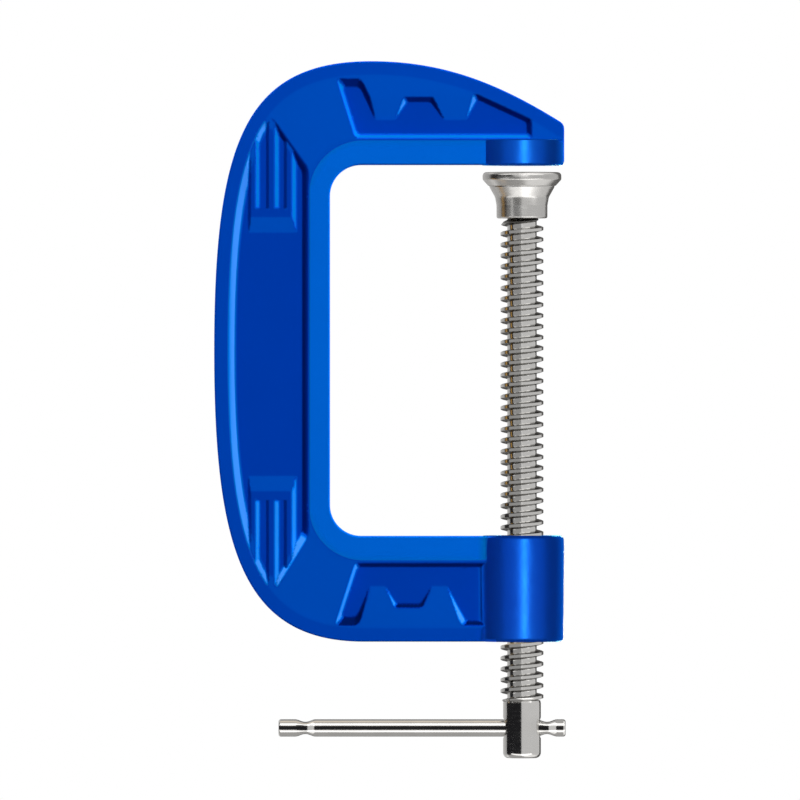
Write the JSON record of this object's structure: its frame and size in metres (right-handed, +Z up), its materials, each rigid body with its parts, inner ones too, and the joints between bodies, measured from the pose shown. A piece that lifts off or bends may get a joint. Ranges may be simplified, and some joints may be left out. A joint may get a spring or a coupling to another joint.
{
  "type": "c clamp",
  "caption": "C clamp with a bowed cast frame, a ball-ended screw through a boss, a swivel pad facing a flat anvil and a sliding tommy bar.",
  "frame": {"origin": "centre of the anvil face on the screw axis", "axes": "+Z up along the screw towards the anvil, +X away from the spine, front face towards -Y"},
  "size_m": [0.1098, 0.0264, 0.2178],
  "materials": {
    "blue_enamel": "gloss enamel",
    "plated_steel": "bright plated",
    "pad_steel": "bright plated",
    "bar_steel": "bright plated"
  },
  "bodies": {
    "frame": {"frame": "blue_enamel"},
    "swivel_pad": {"swivel_pad": "pad_steel"},
    "spindle": {"spindle": "plated_steel"},
    "tommy_bar": {"tommy_bar": "bar_steel"}
  },
  "joints": [
    {"name": "screw_advance", "type": "slide", "parent": "frame", "child": "swivel_pad", "axis": [0, 0, 1], "range_m": [-0.0987, 0.0018]},
    {"name": "screw_turn", "type": "hinge", "parent": "swivel_pad", "child": "spindle", "pos_m": [0, 0, -0.1], "axis": [0, 0, 1], "range_deg": [-10450, 190]},
    {"name": "bar_slide", "type": "slide", "parent": "spindle", "child": "tommy_bar", "axis": [1, 0, 0], "range_m": [0, 0.0598]}
  ],
  "couplings": [
    {"joint": "screw_advance", "follows": "screw_turn", "m_per_rad": 0.00054113}
  ]
}
